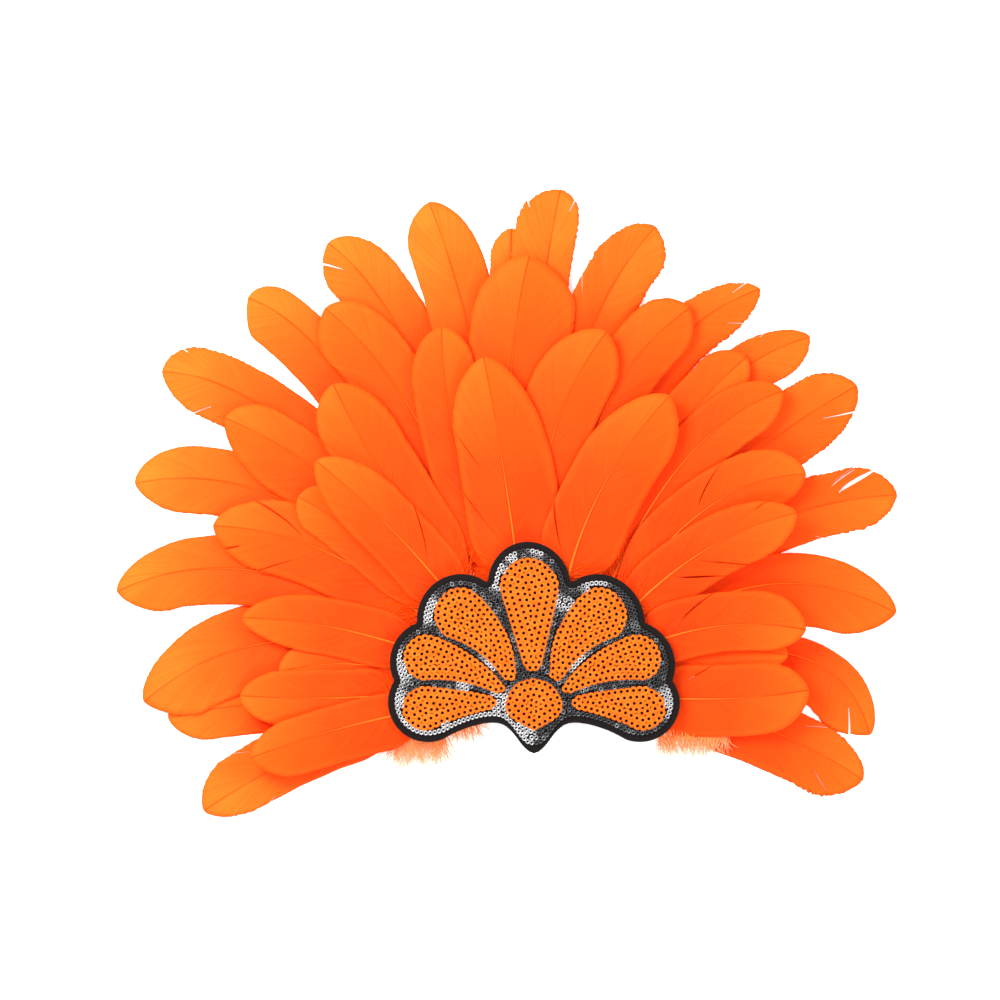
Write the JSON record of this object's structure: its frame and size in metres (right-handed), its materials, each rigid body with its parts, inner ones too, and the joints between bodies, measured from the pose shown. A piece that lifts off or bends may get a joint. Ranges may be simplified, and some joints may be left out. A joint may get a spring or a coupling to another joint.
{
  "type": "carnival feather headdress",
  "caption": "Fan of overlapping orange feathers behind a scalloped sequin patch on black felt, worn as a headdress.",
  "frame": {"origin": "on the rear face of the felt backing, behind the middle of the patch's medallion", "axes": "+Z out of the headdress's front, +Y to the top of the fan, +X to the right seen from the front; it lies on its back"},
  "size_m": [0.3919, 0.3153, 0.0225],
  "materials": {
    "dyed_feather": "soft satin, dyed goose feather",
    "orange_sequin": "matte flat sequins sewn on felt",
    "gunmetal_sequin": "metallised cup sequins, gunmetal",
    "charcoal_felt": "pressed felt, charcoal"
  },
  "bodies": {
    "root": {"backing_felt": "charcoal_felt", "feather_outer_01": "dyed_feather", "feather_outer_02": "dyed_feather", "feather_outer_03": "dyed_feather", "feather_outer_04": "dyed_feather", "feather_outer_05": "dyed_feather", "feather_outer_06": "dyed_feather", "feather_outer_07": "dyed_feather", "feather_outer_08": "dyed_feather", "feather_outer_09": "dyed_feather", "feather_outer_10": "dyed_feather", "feather_outer_11": "dyed_feather", "feather_outer_12": "dyed_feather", "feather_outer_13": "dyed_feather", "feather_outer_14": "dyed_feather", "feather_outer_15": "dyed_feather", "feather_outer_16": "dyed_feather", "feather_outer_17": "dyed_feather", "feather_outer_18": "dyed_feather", "feather_outer_19": "dyed_feather", "feather_second_01": "dyed_feather", "feather_second_02": "dyed_feather", "feather_second_03": "dyed_feather", "feather_second_04": "dyed_feather", "feather_second_05": "dyed_feather", "feather_second_06": "dyed_feather", "feather_second_07": "dyed_feather", "feather_second_08": "dyed_feather", "feather_second_09": "dyed_feather", "feather_second_10": "dyed_feather", "feather_third_01": "dyed_feather", "feather_third_02": "dyed_feather", "feather_third_03": "dyed_feather", "feather_third_04": "dyed_feather", "feather_third_05": "dyed_feather", "feather_third_06": "dyed_feather", "feather_front_01": "dyed_feather", "feather_front_02": "dyed_feather", "feather_front_03": "dyed_feather", "feather_front_04": "dyed_feather", "feather_front_05": "dyed_feather", "feather_front_06": "dyed_feather", "feather_front_07": "dyed_feather", "patch_felt": "charcoal_felt", "border_sequins": "gunmetal_sequin", "medallion_sequins": "orange_sequin", "petal_top": "orange_sequin", "petal_upper_left": "orange_sequin", "petal_upper_right": "orange_sequin", "petal_middle_left": "orange_sequin", "petal_middle_right": "orange_sequin", "petal_lower_left": "orange_sequin", "petal_lower_right": "orange_sequin"}
  },
  "joints": []
}
